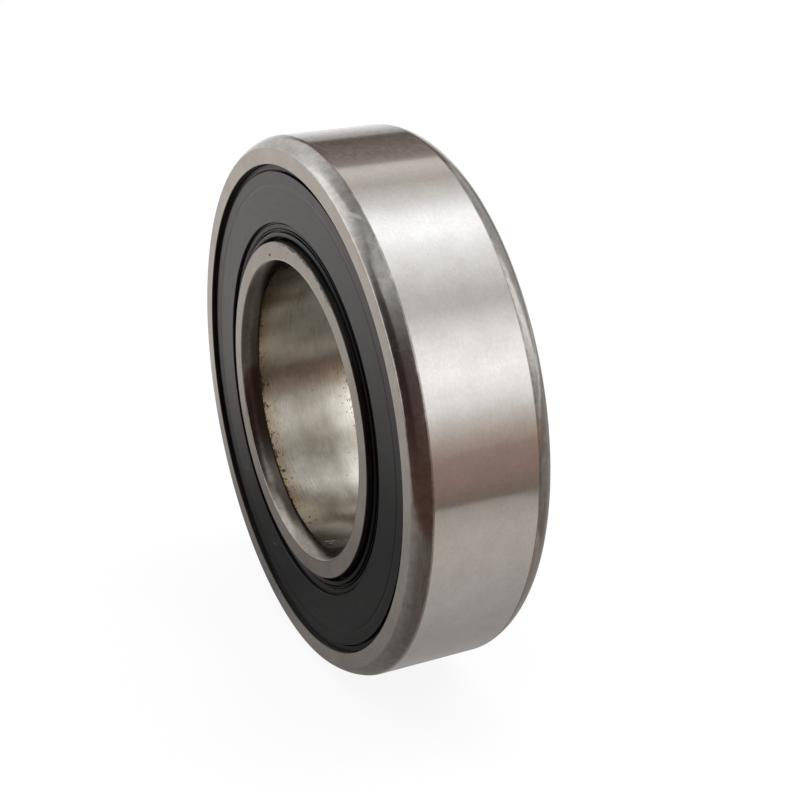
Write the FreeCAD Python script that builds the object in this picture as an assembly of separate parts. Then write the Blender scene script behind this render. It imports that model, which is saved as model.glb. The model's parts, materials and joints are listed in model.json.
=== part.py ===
"""Sealed single-row deep-groove ball bearing, 25 x 47 x 12 mm.

Millimetres. The bearing axis is Y and the origin is the bearing's centre. The front face
looks along -Y and +Z is up, so the bearing stands on its rim.
"""
import FreeCAD, Part
import math
import os

from FreeCAD import Vector

# Boundary dimensions
BORE_DIAMETER = 25.0
OUTSIDE_DIAMETER = 47.0
WIDTH = 12.0

# Corner chamfers: a shallow arc between the ground face and the ground cylinder
OUTER_CHAMFER_AXIAL = 1.47
OUTER_CHAMFER_RADIAL = 0.85
BORE_CHAMFER_AXIAL = 1.43
BORE_CHAMFER_RADIAL = 0.66
OUTER_CHAMFER_RISE = 0.15      # how far the arc stands proud of a straight chamfer
BORE_CHAMFER_RISE = 0.10
EDGE_BREAK = 0.08              # small chamfer on the turned edges of the rings

# Balls and raceways
BALL_DIAMETER = 6.747          # 17/64 inch
BALL_COUNT = 10
FIRST_BALL_ANGLE = 90.0        # degrees from +X towards +Z
RADIAL_INTERNAL_CLEARANCE = 0.020
OUTER_GROOVE_CONFORMITY = 0.53  # groove radius as a share of the ball diameter
INNER_GROOVE_CONFORMITY = 0.515
SHOULDER_HEIGHT = 1.38         # from the raceway's floor to the ring's shoulder

# Seal step on the inner ring
STEP_SHIFT = 0.45              # from the middle of the ring's wall out to the side face's edge
STEP_TAPER = 0.15              # the step grows by this much towards the seal lip's wall
LIP_WALL_DEPTH = 1.30          # from the side face to the wall that the seal lip runs on

# Seal seat in the outer ring
SEAT_SHIFT = 0.55              # from the middle of the ring's wall in to the seat
SEAT_LIP_DEPTH = 0.58          # straight stretch under the side face
SEAT_UNDERCUT = 0.55           # how far the snap groove reaches out beyond the seat
SEAT_SLOPE = 0.22              # axial length of the slope into the snap groove
SEAT_FLOOR_DEPTH = 1.55        # from the side face to the seat's floor

# Seal
SEAL_RECESS = 0.32             # the rubber face lies this far below the ring's side face
RUBBER_THICKNESS = 0.35        # rubber over the steel insert
INSERT_THICKNESS = 0.40
INSERT_FLANGE_REACH = 0.33     # how far the insert's flange reaches in past its flat
INSERT_BEND_RADIUS = 0.15      # inside radius of the bend between flat and flange
INSERT_COVER = 0.30            # rubber between the insert's flange and the rim groove
INSERT_INNER_COVER = 0.15      # rubber between the insert's inner edge and the lip's grooves
SEAL_SEAT_GAP = 0.02           # around the rubber bead in the snap groove
SEAL_RIM_WIDTH = 0.60          # rim groove and bead, from the seat in to the flat
RIM_GROOVE_WIDTH = 0.12
RIM_GROOVE_DEPTH = 0.43        # below the flat
BEAD_DROP = 0.18               # the visible bead lies this far below the flat
RUBBER_ROUND = 0.04            # every moulded corner of the rubber that shows
FACE_LINE_INSET = 1.05         # a fine moulded line, this far in from the flat's rim
FACE_LINE_WIDTH = 0.08
FACE_LINE_DEPTH = 0.03
LIP_GAP = 0.42                 # open ring between the inner ring and the lip's nose
LIP_ZONE_WIDTH = 1.60          # from the inner ring to the flat's inner edge
LIP_DROP = 0.22                # the lip's ridges lie this far below the flat
LIP_GROOVE_DEPTH = 0.16        # grooves between the ridges
LIP_RIDGE_WIDTH = 0.22
LIP_GROOVE_WIDTH = 0.16
LIP_NOSE_SLOPE = 0.12          # bevel between the inner ridge and the lip's nose
LIP_CONTACT_WIDTH = 0.10       # flat edge that faces the inner ring's wall
LIP_CONTACT_INSET = 0.16       # from the lip's nose out to its sealing edge
LIP_RUNNING_GAP = 0.03
LIP_WAIST = 0.26               # rubber left under the inner groove
REAR_LAP_WIDTH = 0.45          # rubber lapped behind the insert's inner edge
REAR_LAP_THICKNESS = 0.12

# Cage: two stamped halves riveted together between the pockets
CAGE_SHEET = 0.60
CAGE_RING_CLEARANCE = 0.40     # from each shoulder to the cage
POCKET_CLEARANCE = 0.12
CAGE_BEND_RADIUS = 0.25        # where a pocket rises from the flat web
RIVET_SHANK_DIAMETER = 1.10
RIVET_HEAD_DIAMETER = 1.95
RIVET_HEAD_HEIGHT = 0.45
RIVET_HOLE_CLEARANCE = 0.02

# Worked out from the sizes above
HALF_WIDTH = WIDTH / 2
BORE_RADIUS = BORE_DIAMETER / 2
OUTSIDE_RADIUS = OUTSIDE_DIAMETER / 2
PITCH_RADIUS = (BORE_RADIUS + OUTSIDE_RADIUS) / 2
BALL_RADIUS = BALL_DIAMETER / 2
BALL_GAP = RADIAL_INTERNAL_CLEARANCE / 4
OUTER_GROOVE_FLOOR = PITCH_RADIUS + BALL_RADIUS + BALL_GAP
INNER_GROOVE_FLOOR = PITCH_RADIUS - BALL_RADIUS - BALL_GAP
OUTER_SHOULDER = OUTER_GROOVE_FLOOR - SHOULDER_HEIGHT
INNER_SHOULDER = INNER_GROOVE_FLOOR + SHOULDER_HEIGHT
SEAT_RADIUS = (OUTER_SHOULDER + OUTSIDE_RADIUS) / 2 - SEAT_SHIFT
INNER_FACE_RADIUS = (INNER_SHOULDER + BORE_RADIUS) / 2 + STEP_SHIFT
SNAP_GROOVE_RADIUS = SEAT_RADIUS + SEAT_UNDERCUT
FLAT_OUTER_RADIUS = SEAT_RADIUS - SEAL_RIM_WIDTH
FLAT_INNER_RADIUS = INNER_FACE_RADIUS + LIP_ZONE_WIDTH
INSERT_OUTER_RADIUS = FLAT_OUTER_RADIUS - INSERT_COVER
INSERT_INNER_RADIUS = FLAT_INNER_RADIUS + INSERT_INNER_COVER
INSERT_FRONT_DEPTH = SEAL_RECESS + RUBBER_THICKNESS
INSERT_REAR_DEPTH = INSERT_FRONT_DEPTH + INSERT_THICKNESS
FLANGE_END_DEPTH = INSERT_REAR_DEPTH + INSERT_FLANGE_REACH
BALL_SPACING = 360.0 / BALL_COUNT
BALL_ANGLES = [FIRST_BALL_ANGLE + BALL_SPACING * index for index in range(BALL_COUNT)]
POCKET_RADIUS = BALL_RADIUS + POCKET_CLEARANCE
POCKET_CROWN = POCKET_RADIUS + CAGE_SHEET
CAGE_OUTER_RADIUS = OUTER_SHOULDER - CAGE_RING_CLEARANCE
CAGE_INNER_RADIUS = INNER_SHOULDER + CAGE_RING_CLEARANCE
RIVET_HOLE_RADIUS = RIVET_SHANK_DIAMETER / 2 + RIVET_HOLE_CLEARANCE

ORIGIN = Vector(0, 0, 0)
BEARING_AXIS = Vector(0, 1, 0)


class Via(tuple):
    """A point that an arc passes through, between the two corners beside it."""


def chamfer_crown(face_edge, wall_edge, rise):
    """The middle of a chamfer's arc, proud of its chord towards the corner that it replaces."""
    chord_r = (face_edge[0] + wall_edge[0]) / 2
    chord_y = (face_edge[1] + wall_edge[1]) / 2
    to_corner_r = wall_edge[0] - chord_r
    to_corner_y = face_edge[1] - chord_y
    share = rise / math.hypot(to_corner_r, to_corner_y)
    return Via((chord_r + share * to_corner_r, chord_y + share * to_corner_y))


def rounded(before, corner, after, radius):
    """Corner replaced by a tangent arc: its two ends with the point between them."""
    point = Vector(corner[0], corner[1], 0)
    to_before = (Vector(before[0], before[1], 0) - point).normalize()
    to_after = (Vector(after[0], after[1], 0) - point).normalize()
    half_angle = to_before.getAngle(to_after) / 2
    setback = radius / math.tan(half_angle)
    bisector = (to_before + to_after).normalize()
    crown = point + bisector * (radius / math.sin(half_angle) - radius)
    start = point + to_before * setback
    end = point + to_after * setback
    return [(start.x, start.y), Via((crown.x, crown.y)), (end.x, end.y)]


def softened(points, radius):
    """A run of points with every corner between its two ends rounded."""
    run = [points[0]]
    for before, corner, after in zip(points, points[1:], points[2:]):
        run += rounded(before, corner, after, radius)
    return run + [points[-1]]


def flat_face(outline):
    """The face inside a closed outline of (radius, y) points, on the +X side of the axis."""
    def at(point):
        return Vector(point[0], point[1], 0)

    edges = []
    count = len(outline)
    for index, point in enumerate(outline):
        if isinstance(point, Via):
            continue
        following = outline[(index + 1) % count]
        if isinstance(following, Via):
            end = outline[(index + 2) % count]
            edges.append(Part.Arc(at(point), at(following), at(end)).toShape())
        else:
            edges.append(Part.makeLine(at(point), at(following)))
    return Part.Face(Part.Wire(edges))


def turned(outline):
    """Solid of revolution about the Y axis."""
    return flat_face(outline).revolve(ORIGIN, BEARING_AXIS, 360)


def both_sides(front_half, middle):
    """A closed outline from its front half, its mirror image and the arc that joins them."""
    rear_half = [type(point)((point[0], -point[1])) for point in reversed(front_half)]
    return front_half + rear_half + [middle]


def from_front(radius, depth):
    """A point at a depth below the front side face."""
    return (radius, depth - HALF_WIDTH)


def mirrored(shape):
    """The same piece on the rear side."""
    return shape.mirror(ORIGIN, BEARING_AXIS)


def around_axis(angle, radius=PITCH_RADIUS):
    """A point in the middle plane, at an angle in degrees from +X towards +Z."""
    return Vector(radius * math.cos(math.radians(angle)), 0, radius * math.sin(math.radians(angle)))


def groove_half_width(groove_radius):
    """Half the width of a raceway groove where it meets the shoulder."""
    return math.sqrt(groove_radius ** 2 - (groove_radius - SHOULDER_HEIGHT) ** 2)


def make_outer_ring():
    groove_edge = groove_half_width(OUTER_GROOVE_CONFORMITY * BALL_DIAMETER)
    face_edge = from_front(OUTSIDE_RADIUS - OUTER_CHAMFER_RADIAL, 0)
    rim_edge = from_front(OUTSIDE_RADIUS, OUTER_CHAMFER_AXIAL)
    front_half = [
        (OUTER_SHOULDER, -groove_edge),
        from_front(OUTER_SHOULDER, SEAT_FLOOR_DEPTH + EDGE_BREAK),
        from_front(OUTER_SHOULDER + EDGE_BREAK, SEAT_FLOOR_DEPTH),
        from_front(SNAP_GROOVE_RADIUS, SEAT_FLOOR_DEPTH),
        from_front(SNAP_GROOVE_RADIUS, SEAT_LIP_DEPTH + SEAT_SLOPE),
        from_front(SEAT_RADIUS, SEAT_LIP_DEPTH),
        from_front(SEAT_RADIUS, EDGE_BREAK),
        from_front(SEAT_RADIUS + EDGE_BREAK, 0),
        face_edge,
        chamfer_crown(face_edge, rim_edge, OUTER_CHAMFER_RISE),
        rim_edge,
    ]
    return turned(both_sides(front_half, Via((OUTER_GROOVE_FLOOR, 0))))


def make_inner_ring():
    groove_edge = groove_half_width(INNER_GROOVE_CONFORMITY * BALL_DIAMETER)
    bore_edge = from_front(BORE_RADIUS, BORE_CHAMFER_AXIAL)
    face_edge = from_front(BORE_RADIUS + BORE_CHAMFER_RADIAL, 0)
    front_half = [
        (INNER_SHOULDER, -groove_edge),
        from_front(INNER_SHOULDER, LIP_WALL_DEPTH + EDGE_BREAK),
        from_front(INNER_SHOULDER - EDGE_BREAK, LIP_WALL_DEPTH),
        from_front(INNER_FACE_RADIUS + STEP_TAPER, LIP_WALL_DEPTH),
        from_front(INNER_FACE_RADIUS, EDGE_BREAK),
        from_front(INNER_FACE_RADIUS - EDGE_BREAK, 0),
        face_edge,
        chamfer_crown(face_edge, bore_edge, BORE_CHAMFER_RISE),
        bore_edge,
    ]
    return turned(both_sides(front_half, Via((INNER_GROOVE_FLOOR, 0))))


def make_insert():
    """Stamped sheet ring with its outer edge bent inwards into a flange."""
    flange_inner = INSERT_OUTER_RADIUS - INSERT_THICKNESS
    front_inner = from_front(INSERT_INNER_RADIUS, INSERT_FRONT_DEPTH)
    front_corner = from_front(INSERT_OUTER_RADIUS, INSERT_FRONT_DEPTH)
    flange_outer_end = from_front(INSERT_OUTER_RADIUS, FLANGE_END_DEPTH)
    flange_inner_end = from_front(flange_inner, FLANGE_END_DEPTH)
    rear_corner = from_front(flange_inner, INSERT_REAR_DEPTH)
    rear_inner = from_front(INSERT_INNER_RADIUS, INSERT_REAR_DEPTH)
    outside_bend = INSERT_BEND_RADIUS + INSERT_THICKNESS
    return turned(
        [front_inner]
        + rounded(front_inner, front_corner, flange_outer_end, outside_bend)
        + [flange_outer_end, flange_inner_end]
        + rounded(flange_inner_end, rear_corner, rear_inner, INSERT_BEND_RADIUS)
        + [rear_inner]
    )


def lip_outline():
    """The rubber lip's outline, from the flat's inner edge round to the lap behind the insert."""
    ridge_depth = SEAL_RECESS + LIP_DROP
    groove_depth = ridge_depth + LIP_GROOVE_DEPTH
    waist_depth = groove_depth + LIP_WAIST
    lap_depth = INSERT_REAR_DEPTH + REAR_LAP_THICKNESS
    sealing_depth = LIP_WALL_DEPTH - LIP_RUNNING_GAP
    nose = INNER_FACE_RADIUS + LIP_GAP
    sealing_edge = nose + LIP_CONTACT_INSET
    outer_groove = FLAT_INNER_RADIUS - LIP_GROOVE_WIDTH
    ridge = outer_groove - LIP_RIDGE_WIDTH
    inner_groove = ridge - LIP_GROOVE_WIDTH
    shown = [
        from_front(FLAT_INNER_RADIUS + LIP_RIDGE_WIDTH, SEAL_RECESS),
        from_front(FLAT_INNER_RADIUS, SEAL_RECESS),
        from_front(FLAT_INNER_RADIUS, groove_depth),
        from_front(outer_groove, groove_depth),
        from_front(outer_groove, ridge_depth),
        from_front(ridge, ridge_depth),
        from_front(ridge, groove_depth),
        from_front(inner_groove, groove_depth),
        from_front(inner_groove, ridge_depth),
        from_front(nose + LIP_NOSE_SLOPE, ridge_depth),
        from_front(nose, ridge_depth + LIP_NOSE_SLOPE),
        from_front(nose, sealing_depth - LIP_CONTACT_INSET),
    ]
    hidden = [
        from_front(sealing_edge, sealing_depth),
        from_front(sealing_edge + LIP_CONTACT_WIDTH, sealing_depth),
        from_front(inner_groove, waist_depth),
        from_front(ridge, waist_depth),
        from_front(FLAT_INNER_RADIUS, lap_depth),
        from_front(INSERT_INNER_RADIUS + REAR_LAP_WIDTH, lap_depth),
        from_front(INSERT_INNER_RADIUS + REAR_LAP_WIDTH, INSERT_REAR_DEPTH),
    ]
    return softened(shown, RUBBER_ROUND) + hidden


def rim_outline():
    """The rubber rim's outline, from behind the insert's flange round to the flat's face."""
    flange_inner = INSERT_OUTER_RADIUS - INSERT_THICKNESS
    groove_outer = FLAT_OUTER_RADIUS + RIM_GROOVE_WIDTH
    groove_depth = SEAL_RECESS + RIM_GROOVE_DEPTH
    bead_depth = SEAL_RECESS + BEAD_DROP
    bead_radius = SEAT_RADIUS - SEAL_SEAT_GAP
    snap_radius = SNAP_GROOVE_RADIUS - SEAL_SEAT_GAP
    line_outer = FLAT_OUTER_RADIUS - FACE_LINE_INSET
    line_inner = line_outer - FACE_LINE_WIDTH
    hidden = [
        from_front(flange_inner, INSERT_REAR_DEPTH),
        from_front(flange_inner, SEAT_FLOOR_DEPTH),
        from_front(snap_radius, SEAT_FLOOR_DEPTH),
        from_front(snap_radius, SEAT_LIP_DEPTH + SEAT_SLOPE + SEAL_SEAT_GAP),
    ]
    shown = [
        from_front(bead_radius, SEAT_LIP_DEPTH + SEAL_SEAT_GAP),
        from_front(bead_radius, bead_depth),
        from_front(groove_outer, bead_depth),
        from_front(groove_outer, groove_depth),
        from_front(FLAT_OUTER_RADIUS, groove_depth),
        from_front(FLAT_OUTER_RADIUS, SEAL_RECESS),
        from_front(line_outer, SEAL_RECESS),
    ]
    face_line = [
        from_front((line_outer + line_inner) / 2, SEAL_RECESS + FACE_LINE_DEPTH),
        from_front(line_inner, SEAL_RECESS),
    ]
    return hidden + softened(shown, RUBBER_ROUND) + face_line


def make_rubber(insert):
    """Rubber moulded over the insert's front, round its flange and on to the sealing lip."""
    return turned(lip_outline() + rim_outline()).cut(insert)


def make_ball(angle):
    return Part.makeSphere(BALL_RADIUS, around_axis(angle))


def cage_sector():
    """The space that one pocket and the web beside it take up, on the +X side."""
    height = 2 * POCKET_CROWN
    section = flat_face([
        (CAGE_INNER_RADIUS, 0),
        (CAGE_INNER_RADIUS, -height),
        (CAGE_OUTER_RADIUS, -height),
        (CAGE_OUTER_RADIUS, 0),
    ])
    sector = section.revolve(ORIGIN, BEARING_AXIS, BALL_SPACING)
    return sector.rotated(ORIGIN, BEARING_AXIS, -BALL_SPACING / 2)


def pocket_outline():
    """A stamped pocket's section through the ball's centre: dome, bend at its foot and flat web."""
    def on_dome(radius, angle):
        return (radius * math.sin(angle), -radius * math.cos(angle))

    bend_y = -CAGE_SHEET - CAGE_BEND_RADIUS
    bend_r = math.sqrt((POCKET_CROWN + CAGE_BEND_RADIUS) ** 2 - bend_y ** 2)
    foot_angle = math.atan2(bend_r, -bend_y)
    in_bend = (
        bend_r - CAGE_BEND_RADIUS * math.sin(foot_angle / 2),
        bend_y + CAGE_BEND_RADIUS * math.cos(foot_angle / 2),
    )
    return [
        on_dome(POCKET_CROWN, 0),
        Via(on_dome(POCKET_CROWN, foot_angle / 2)),
        on_dome(POCKET_CROWN, foot_angle),
        Via(in_bend),
        (bend_r, -CAGE_SHEET),
        (CAGE_OUTER_RADIUS, -CAGE_SHEET),
        (CAGE_OUTER_RADIUS, 0),
        (POCKET_RADIUS, 0),
        Via(on_dome(POCKET_RADIUS, math.pi / 4)),
        on_dome(POCKET_RADIUS, 0),
    ]


def make_cage_half():
    """Front half: a flat ring with a spherical pocket at each ball and a hole between each two."""
    pocket = turned(pocket_outline())
    pocket.translate(around_axis(0))
    sector = pocket.common(cage_sector())
    sectors = []
    holes = []
    for angle in BALL_ANGLES:
        sectors.append(sector.rotated(ORIGIN, BEARING_AXIS, -angle))
        start = around_axis(angle + BALL_SPACING / 2) - BEARING_AXIS * (2 * CAGE_SHEET)
        holes.append(Part.makeCylinder(RIVET_HOLE_RADIUS, 3 * CAGE_SHEET, start, BEARING_AXIS))
    return sectors[0].fuse(sectors[1:]).cut(holes).removeSplitter()


def make_rivet(angle):
    """Shank with a domed head on each side of the two webs."""
    shank = RIVET_SHANK_DIAMETER / 2
    head = RIVET_HEAD_DIAMETER / 2
    crown = CAGE_SHEET + RIVET_HEAD_HEIGHT
    dome_radius = (head ** 2 + RIVET_HEAD_HEIGHT ** 2) / (2 * RIVET_HEAD_HEIGHT)
    half_way = head / 2
    dome_drop = dome_radius - math.sqrt(dome_radius ** 2 - half_way ** 2)
    rivet = turned([
        (0, -crown),
        Via((half_way, dome_drop - crown)),
        (head, -CAGE_SHEET),
        (shank, -CAGE_SHEET),
        (shank, CAGE_SHEET),
        (head, CAGE_SHEET),
        Via((half_way, crown - dome_drop)),
        (0, crown),
    ])
    rivet.translate(around_axis(angle))
    return rivet


def build():
    """Every piece of the bearing by name."""
    insert = make_insert()
    rubber = make_rubber(insert)
    cage_half = make_cage_half()
    pieces = {
        "outer_ring": make_outer_ring(),
        "inner_ring": make_inner_ring(),
        "seal_front_rubber": rubber,
        "seal_front_insert": insert,
        "seal_rear_rubber": mirrored(rubber),
        "seal_rear_insert": mirrored(insert),
        "cage_half_front": cage_half,
        "cage_half_rear": mirrored(cage_half),
    }
    for number, angle in enumerate(BALL_ANGLES, start=1):
        pieces[f"ball_{number:02d}"] = make_ball(angle)
        pieces[f"cage_rivet_{number:02d}"] = make_rivet(angle + BALL_SPACING / 2)
    return pieces


os.makedirs("parts", exist_ok=True)
for name, shape in build().items():
    shape.exportStep(f"parts/{name}.step")
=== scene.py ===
"""Looks of a sealed ball bearing that stands on its rim on a pale floor.

Metres, in the CAD model's frame: the bearing's axis is Y, its front side looks along -Y and +Z is up.
Section outlines are written in millimetres as (radius, y) and turned about the axis.
"""
import json
import math

import bpy
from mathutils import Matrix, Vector


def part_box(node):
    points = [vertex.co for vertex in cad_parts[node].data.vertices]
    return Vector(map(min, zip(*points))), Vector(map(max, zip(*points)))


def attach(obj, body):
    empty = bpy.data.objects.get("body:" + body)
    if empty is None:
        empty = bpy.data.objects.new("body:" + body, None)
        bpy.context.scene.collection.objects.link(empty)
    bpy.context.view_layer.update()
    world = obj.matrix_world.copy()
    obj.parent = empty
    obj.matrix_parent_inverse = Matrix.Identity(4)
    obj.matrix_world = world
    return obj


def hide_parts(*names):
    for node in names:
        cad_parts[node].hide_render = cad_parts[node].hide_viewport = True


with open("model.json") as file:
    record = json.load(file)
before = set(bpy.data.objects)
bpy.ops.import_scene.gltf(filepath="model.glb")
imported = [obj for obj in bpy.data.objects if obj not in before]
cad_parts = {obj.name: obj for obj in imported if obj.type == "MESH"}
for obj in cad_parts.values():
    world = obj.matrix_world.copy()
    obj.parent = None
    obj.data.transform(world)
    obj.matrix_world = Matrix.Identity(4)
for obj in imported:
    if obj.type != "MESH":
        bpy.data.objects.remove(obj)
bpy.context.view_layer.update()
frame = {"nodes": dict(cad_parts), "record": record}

MM = 0.001
MOUNTS = {mount["name"]: mount for mount in frame["record"]["mounts"]}

# Boundary sizes, read from the frame
BORE_RADIUS = MOUNTS["shaft_bore"]["dims"]["r_mm"]
OUTSIDE_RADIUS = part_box("outer_ring")[1].x / MM
HALF_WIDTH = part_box("outer_ring")[1].y / MM
INNER_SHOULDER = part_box("inner_ring")[1].x / MM
SNAP_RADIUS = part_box("seal_front_rubber")[1].x / MM
SEAL_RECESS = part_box("seal_front_rubber")[0].y / MM + HALF_WIDTH
INSERT_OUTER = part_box("seal_front_insert")[1].x / MM
INSERT_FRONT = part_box("seal_front_insert")[0].y / MM + HALF_WIDTH
INSERT_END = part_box("seal_front_insert")[1].y / MM + HALF_WIDTH

# Rings: radii, half widths, and depths below the side faces
OUTER_SHOULDER = 20.0
OUTER_GROOVE_FLOOR = 21.379
OUTER_GROOVE_HALF = 2.872
INNER_GROOVE_FLOOR = 14.622
INNER_GROOVE_HALF = 2.77
SEAT_RADIUS = 21.20
SEAT_LIP_DEPTH = 0.58
SEAT_SLOPE = 0.22
SEAT_FLOOR_DEPTH = 1.55
SEAT_PLAY = 0.02                # between the outer ring's seat and the rubber
OUTER_CHAMFER_AXIAL = 1.47
OUTER_CHAMFER_RADIAL = 0.85
OUTER_CHAMFER_RISE = 0.15
BORE_CHAMFER_AXIAL = 1.43
BORE_CHAMFER_RADIAL = 0.66
BORE_CHAMFER_RISE = 0.10
INNER_FACE_RADIUS = 14.70
STEP_TAPER = 0.15
LIP_WALL_DEPTH = 1.30
EDGE_ROUND = 0.06
EDGE_BLEND = 0.11

# Seal: radii, and depths below the side face
FLAT_OUTER = 20.60
FLAT_INNER = 16.30
FLAT_MARGIN = 0.50              # how far the rounded runs beside the flat reach onto it
INSERT_INNER = 16.45
INSERT_SHEET = 0.40
INSERT_BEND = 0.15              # inside radius of the insert's bend
RIM_GROOVE_WIDTH = 0.12
RIM_GROOVE_DEPTH = 0.75
BEAD_DEPTH = 0.50
FACE_LINE_RADIUS = 19.51        # fine moulded line on the flat
FACE_LINE_HALF = 0.20
FACE_LINE_DEPTH = 0.035
FACE_LINE_ROUND = 0.03
STEP_GROOVE_RADIUS = 16.15      # groove at the foot of the flat
STEP_GROOVE_DEPTH = 0.70
BAND_DEPTH = 0.58
BAND_SLOPE = 0.03
BAND_RADIUS = 15.78             # band from the step groove in to the second groove
SECOND_GROOVE_RADIUS = 15.70
SECOND_GROOVE_DEPTH = 0.74
SMALL_BEAD_RADIUS = 15.58       # small bead between the two grooves
SMALL_BEAD_DEPTH = 0.56
LIP_GROOVE_RADIUS = 15.46       # groove beside the lip's bead
LIP_GROOVE_DEPTH = 0.78
WALL_LEAN = 0.02                # lean of the low walls over their height
WIDE_LEAN = 0.03                # lean of the band's and the lip's walls
STEP_ROUNDS = (0.05, 0.03, 0.03, 0.04, 0.05, 0.02, 0.02, 0.05, 0.05, 0.03)
LIP_BEAD_DEPTH = 0.43
LIP_BEAD_ROUND = 0.19
LIP_NOSE = 15.01
LIP_BEVEL = 0.16
LIP_LAND = 0.10                 # flat behind the lip's bevel
WAIST_DEPTH = 0.96
LIP_LAP_DEPTH = 1.19
LIP_LAP_RADIUS = 16.90
SEALING_DEPTH = 1.27
RUBBER_ROUND = 0.04

# Turned meshes
SEGMENTS = 288                  # round every turned piece
ARC_STEPS = 8
CORNER_STEPS = 4
HOLD = 0.03                     # how close to its ends a straight run is held flat
LONGEST_SETBACK = 0.48          # share of a side that the rounding of one corner may take
SHARP_ANGLE = 28
FLAT_TOLERANCE = 0.001

# Wear, as angles in degrees from +X towards +Z
PIT = (111, 13.6, 0.30)         # angle, radius and size in mm
# Scratches: angle, from and to in mm of radius or y, slant in degrees per mm, half width in degrees
CHAMFER_SCRATCH = (62, OUTSIDE_RADIUS - 0.70, OUTSIDE_RADIUS - 0.05, -7.0, 0.90)
RUBBER_SCRATCHES = ((-140, 17.3, 18.1, -2.7, 0.35), (-113, 17.6, 18.1, -5.0, 0.60))
BORE_SCRATCHES = ((-82, -4.3, -3.1, 1.5, 0.40), (-79.5, -4.1, -3.6, -3.0, 0.40))

# Camera
AZIMUTH = 65.8                  # degrees round the bearing, 0 looks along +Y
ELEVATION = 23.06
DISTANCE = 0.1368
AIM_RIGHT = 0.00364
AIM_UP = -0.0001
LENS = 70.0

# Stage
WHITE = (1.0, 1.0, 1.0)
FLOOR_Z = -OUTSIDE_RADIUS * MM
FLOOR_HALF = 3.0
FLOOR_GLOW = 0.82
CARD_RADIUS = 0.5               # of the reflection cards that stand round the bearing
BEAM_RADIUS = 0.99 * CARD_RADIUS
CARD_LIFT = 0.00005             # of the cards that lie on the floor
CARD_STEP = 3                   # degrees between the points of a round card
CARD_SPLIT = -0.003             # y where the front and rear cards on the floor meet
PAPER_FRONT = -0.04             # y where the nearest cards on the floor end
PAPER_REAR = 0.03
FLOOR_END = 0.5                 # y where the paper and the table end
WALL_SPLIT = 0.45               # y where the near and far cards of the wall meet
WALL_END = 8.0                  # y where the wall behind the bearing ends
ROOM_END = -1.5                 # y where the room and the table in front of the bearing end


# ---------------------------------------------------------------- outlines

def circle_centre(start, middle, end):
    """Centre of the circle through three points."""
    (ax, ay), (bx, by), (cx, cy) = start, middle, end
    a2, b2, c2 = (x * x + y * y for x, y in (start, middle, end))
    scale = 2 * (ax * (by - cy) + bx * (cy - ay) + cx * (ay - by))
    return ((a2 * (by - cy) + b2 * (cy - ay) + c2 * (ay - by)) / scale,
            (a2 * (cx - bx) + b2 * (ax - cx) + c2 * (bx - ax)) / scale)


def arc(start, middle, end, steps=ARC_STEPS):
    """Points on the circle through three points, from start to end, both included."""
    x, y = circle_centre(start, middle, end)
    radius = math.hypot(start[0] - x, start[1] - y)
    first = math.atan2(start[1] - y, start[0] - x)
    via = (math.atan2(middle[1] - y, middle[0] - x) - first) % math.tau
    last = (math.atan2(end[1] - y, end[0] - x) - first) % math.tau
    if via > last:
        last -= math.tau
    angles = [first + last * i / steps for i in range(steps + 1)]
    return [(x + radius * math.cos(a), y + radius * math.sin(a)) for a in angles]


def crowned(start, end, corner, rise):
    """An arc from start to end that stands proud of its chord, towards a corner."""
    middle = ((start[0] + end[0]) / 2, (start[1] + end[1]) / 2)
    reach = math.hypot(corner[0] - middle[0], corner[1] - middle[1])
    top = tuple(m + rise / reach * (c - m) for m, c in zip(middle, corner))
    return arc(start, top, end, 2 * ARC_STEPS)


def rounded(points, radii, steps=CORNER_STEPS):
    """The points with each corner between the first and the last rounded by a tangent arc."""
    run = [points[0]]
    for before, corner, after, size in zip(points, points[1:], points[2:], radii):
        corner = Vector(corner)
        b = Vector(before) - corner
        a = Vector(after) - corner
        half = b.angle(a) / 2
        setback = min(size / math.tan(half), LONGEST_SETBACK * b.length, LONGEST_SETBACK * a.length)
        fillet = setback * math.tan(half)
        bisector = (b.normalized() + a.normalized()).normalized()
        top = corner + bisector * (fillet / math.sin(half) - fillet)
        start = corner + b.normalized() * setback
        end = corner + a.normalized() * setback
        run += arc(tuple(start), tuple(top), tuple(end), steps)
    return run + [points[-1]]


def evenly_rounded(points, radius):
    """The points with every corner rounded alike."""
    return rounded(points, [radius] * (len(points) - 2))


def blended(start, corner, end):
    """A soft edge: a curve that leaves start and reaches end, both towards the corner."""
    run = []
    for i in range(CORNER_STEPS + 1):
        u = i / CORNER_STEPS
        run.append(tuple(a * (1 - u) ** 2 + 2 * b * u * (1 - u) + c * u * u
                         for a, b, c in zip(start, corner, end)))
    return run


def held(points):
    """The closed outline with a point close to both ends of each long straight run, to keep it flat."""
    run = []
    for (r, y), (next_r, next_y) in zip(points, points[1:] + points[:1]):
        run.append((r, y))
        length = math.hypot(next_r - r, next_y - y)
        if length > 5 * HOLD:
            for share in (HOLD / length, 1 - HOLD / length):
                run.append((r + share * (next_r - r), y + share * (next_y - y)))
    return run


def mirrored(front_half):
    """The same points on the rear side, in reverse order."""
    return [(r, -y) for r, y in reversed(front_half)]


def front(radius, depth):
    """A point at a depth below the front side face."""
    return (radius, depth - HALF_WIDTH)


# ---------------------------------------------------------------- turned meshes

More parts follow.
